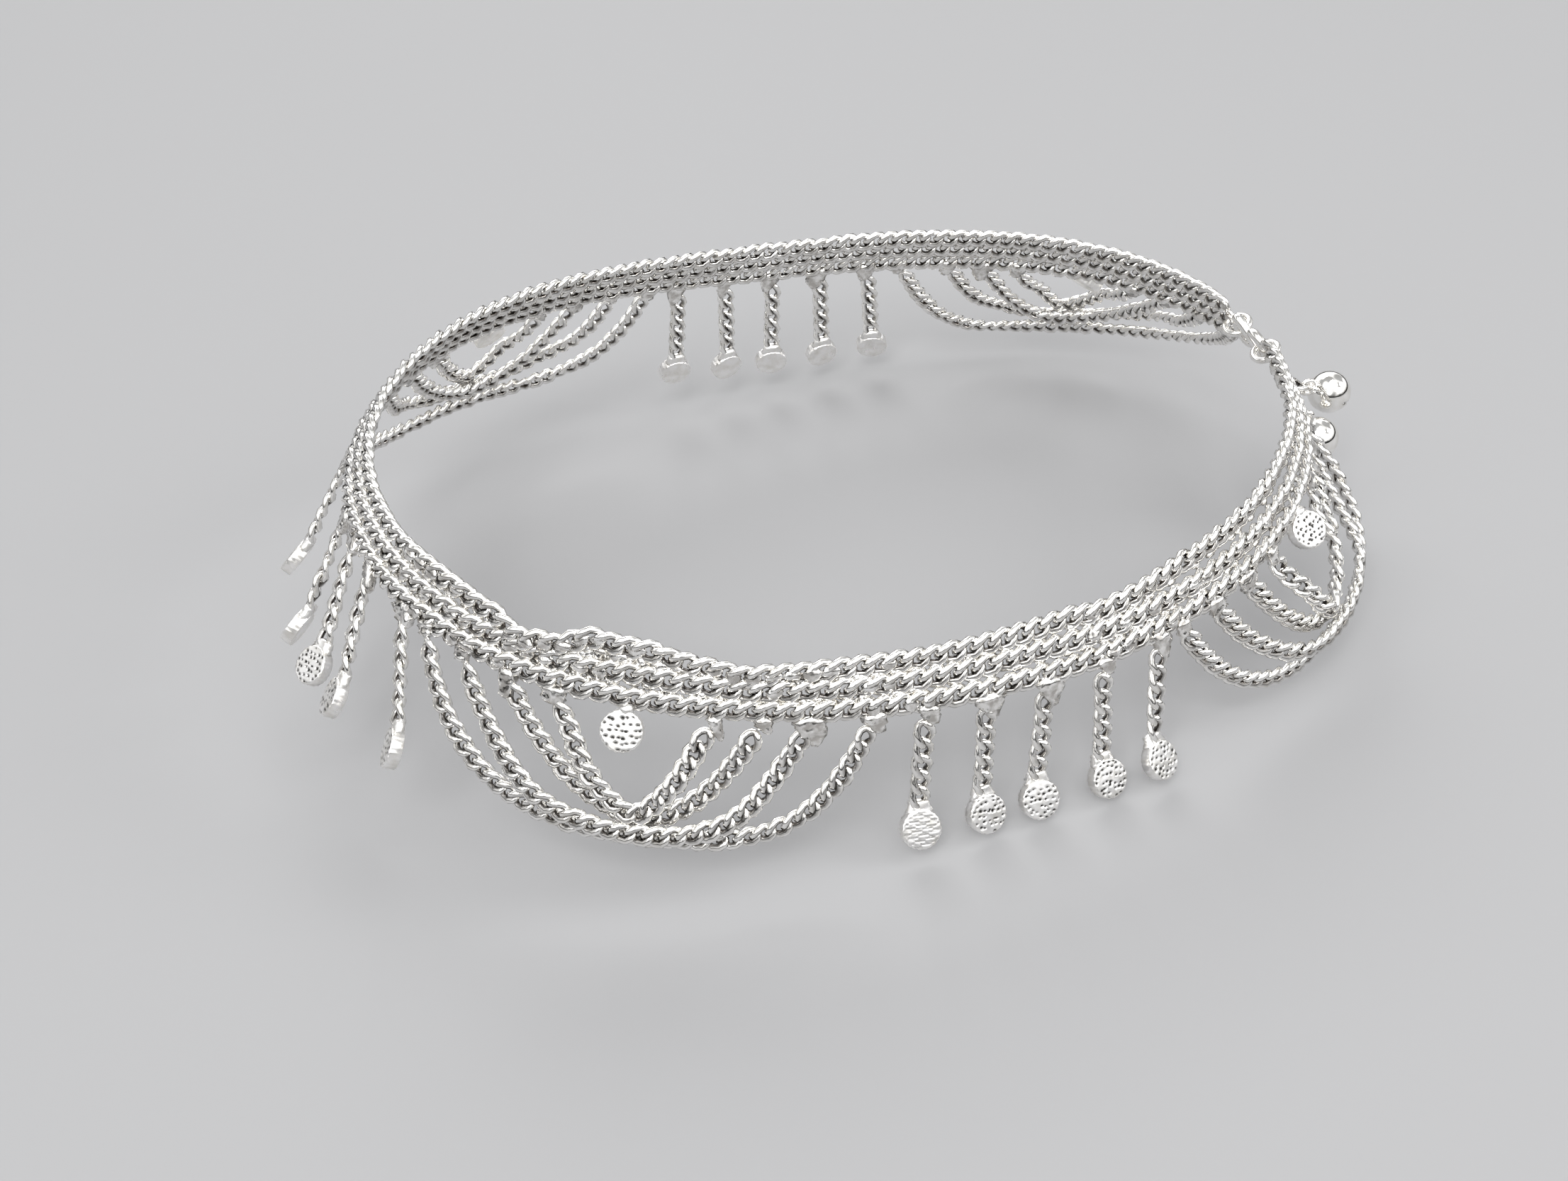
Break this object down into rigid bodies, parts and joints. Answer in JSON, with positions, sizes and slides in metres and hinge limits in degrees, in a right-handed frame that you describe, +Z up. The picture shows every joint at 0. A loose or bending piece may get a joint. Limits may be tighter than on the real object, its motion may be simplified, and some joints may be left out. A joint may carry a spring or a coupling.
{
  "type": "charm anklet",
  "caption": "Anklet in its worn oval form: a band of soldered curb chain with nested chain swags, hanging disc charms, small bells and a hook clasp.",
  "frame": {"origin": "middle of the worn loop, on the axis of the ankle, level with the band's top edge", "axes": "+X towards the toes, +Y towards the inner side of the ankle, +Z up the ankle"},
  "size_m": [0.1079, 0.0767, 0.0259],
  "materials": {
    "silver_chain": "bright silver plate on links and solder",
    "silver_disc": "silver plate, face stamped with small pits",
    "silver_plain": "smooth polished silver plate"
  },
  "bodies": {
    "root": {"band": "silver_chain", "swag_front_outer_chain_1": "silver_chain", "swag_front_outer_chain_2": "silver_chain", "swag_front_outer_chain_3": "silver_chain", "swag_front_outer_chain_4": "silver_chain", "swag_heel_outer_chain_1": "silver_chain", "swag_heel_outer_chain_2": "silver_chain", "swag_heel_outer_chain_3": "silver_chain", "swag_heel_outer_chain_4": "silver_chain", "swag_heel_inner_chain_1": "silver_chain", "swag_heel_inner_chain_2": "silver_chain", "swag_heel_inner_chain_3": "silver_chain", "swag_heel_inner_chain_4": "silver_chain", "swag_front_inner_chain_1": "silver_chain", "swag_front_inner_chain_2": "silver_chain", "swag_front_inner_chain_3": "silver_chain", "swag_front_inner_chain_4": "silver_chain", "drop_side_outer_chain_1": "silver_chain", "drop_side_outer_chain_2": "silver_chain", "drop_side_outer_chain_3": "silver_chain", "drop_side_outer_chain_4": "silver_chain", "drop_side_outer_chain_5": "silver_chain", "drop_heel_chain_1": "silver_chain", "drop_heel_chain_2": "silver_chain", "drop_heel_chain_3": "silver_chain", "drop_heel_chain_4": "silver_chain", "drop_heel_chain_5": "silver_chain", "drop_side_inner_chain_1": "silver_chain", "drop_side_inner_chain_2": "silver_chain", "drop_side_inner_chain_3": "silver_chain", "drop_side_inner_chain_4": "silver_chain", "drop_side_inner_chain_5": "silver_chain", "drop_side_outer_disc_1": "silver_disc", "drop_side_outer_disc_2": "silver_disc", "drop_side_outer_disc_3": "silver_disc", "drop_side_outer_disc_4": "silver_disc", "drop_side_outer_disc_5": "silver_disc", "drop_heel_disc_1": "silver_disc", "drop_heel_disc_2": "silver_disc", "drop_heel_disc_3": "silver_disc", "drop_heel_disc_4": "silver_disc", "drop_heel_disc_5": "silver_disc", "drop_side_inner_disc_1": "silver_disc", "drop_side_inner_disc_2": "silver_disc", "drop_side_inner_disc_3": "silver_disc", "drop_side_inner_disc_4": "silver_disc", "drop_side_inner_disc_5": "silver_disc", "bell_upper": "silver_plain", "bell_lower": "silver_plain", "clasp_hook": "silver_plain"}
  },
  "joints": []
}
